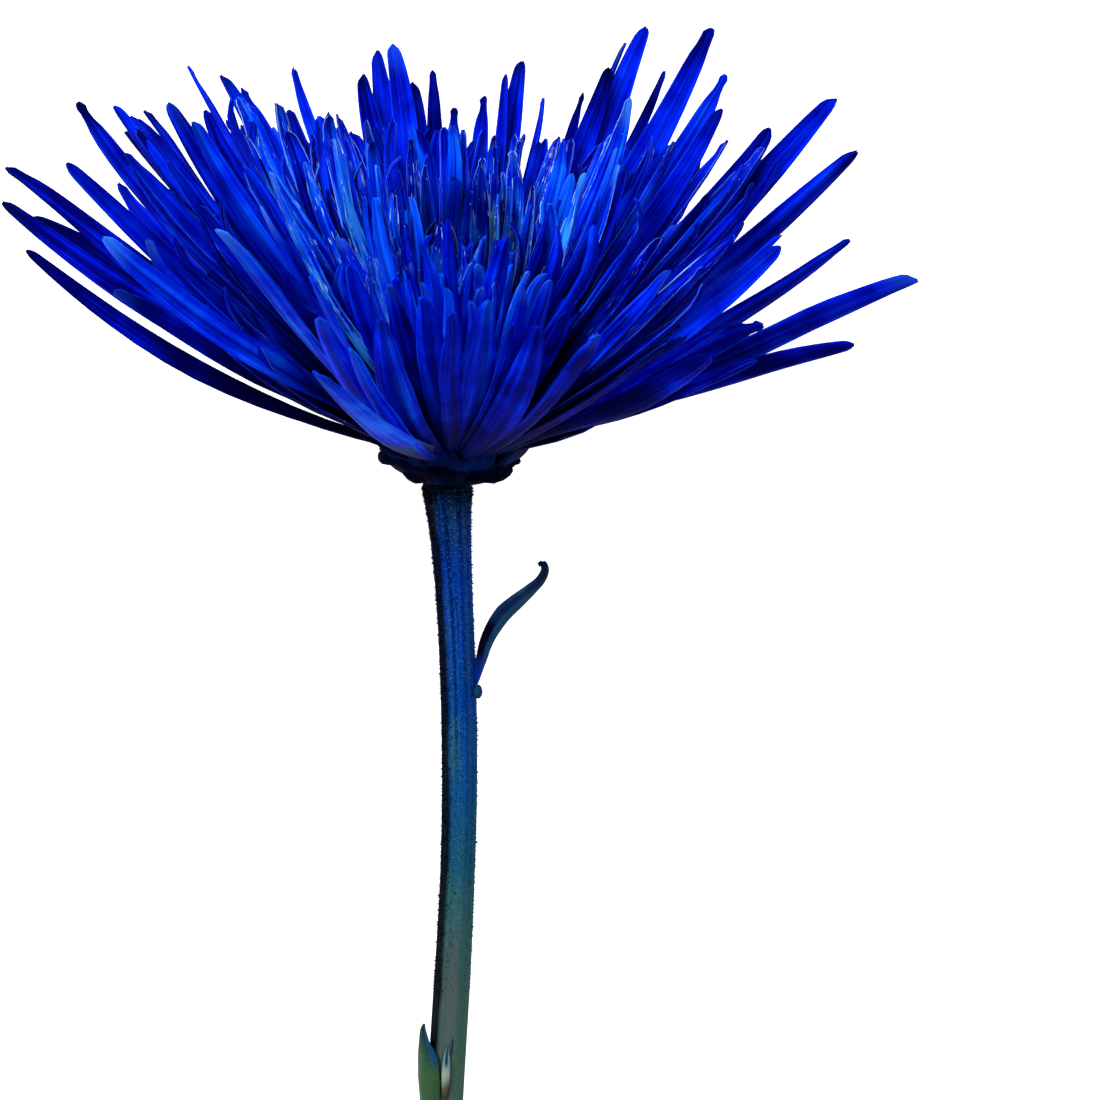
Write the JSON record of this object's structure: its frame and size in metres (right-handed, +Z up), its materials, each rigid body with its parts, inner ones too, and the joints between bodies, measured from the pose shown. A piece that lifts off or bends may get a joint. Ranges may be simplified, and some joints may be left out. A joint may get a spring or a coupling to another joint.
{
  "type": "spider chrysanthemum",
  "caption": "Single cut spider chrysanthemum, dyed blue, with long strap florets in a spread bloom, a dark calyx and a ribbed stem with small leaves; it lies on its side.",
  "frame": {"origin": "on the surface that the flower lies on, under the middle of its box", "axes": "+Z up, +Y along the stem towards the bloom, +X to the flower's right seen from above"},
  "size_m": [0.13, 0.2778, 0.1151],
  "materials": {
    "petal": "satin",
    "calyx": "matte",
    "stem": "satin",
    "leaf": "satin",
    "bud": "satin"
  },
  "bodies": {
    "root": {"bloom": "petal", "calyx": "calyx", "stem": "stem", "upper_leaf": "leaf", "lower_leaf": "leaf", "side_bud": "bud"}
  },
  "joints": []
}
